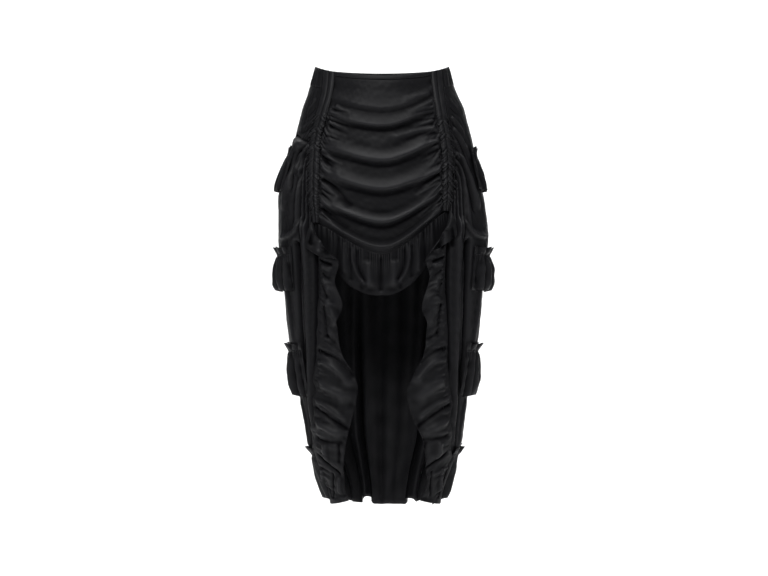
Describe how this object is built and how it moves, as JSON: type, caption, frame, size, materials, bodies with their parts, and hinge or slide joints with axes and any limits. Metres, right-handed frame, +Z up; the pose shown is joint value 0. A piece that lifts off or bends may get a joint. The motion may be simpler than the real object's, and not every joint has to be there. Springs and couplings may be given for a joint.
{
  "type": "ruffle skirt",
  "caption": "High-low bustle skirt held open at the waist: ruched front panel between drawn casings, draped sides with ruffled front edges, ruffle tiers round the long back.",
  "frame": {"origin": "centre of the waist opening, at the height of the waistband's top edge at the sides", "axes": "+Z up through the waist opening, -Y towards the ruched front, +X towards the right of someone who faces that front"},
  "size_m": [0.4298, 0.3165, 0.8674],
  "materials": {
    "black_satin": "near-black woven cloth with a soft satin sheen",
    "black_ruffle_cloth": "the same near-black cloth, gathered"
  },
  "bodies": {
    "root": {"waistband": "black_satin", "front_binding": "black_satin", "front_panel": "black_satin", "casing_left": "black_satin", "casing_right": "black_satin", "side_panel_left": "black_satin", "side_panel_right": "black_satin", "back_panel": "black_satin", "front_ruffle": "black_ruffle_cloth", "edge_ruffle_left": "black_ruffle_cloth", "edge_ruffle_right": "black_ruffle_cloth", "tier_1": "black_ruffle_cloth", "tier_2": "black_ruffle_cloth", "tier_3": "black_ruffle_cloth", "tier_4": "black_ruffle_cloth"}
  },
  "joints": []
}
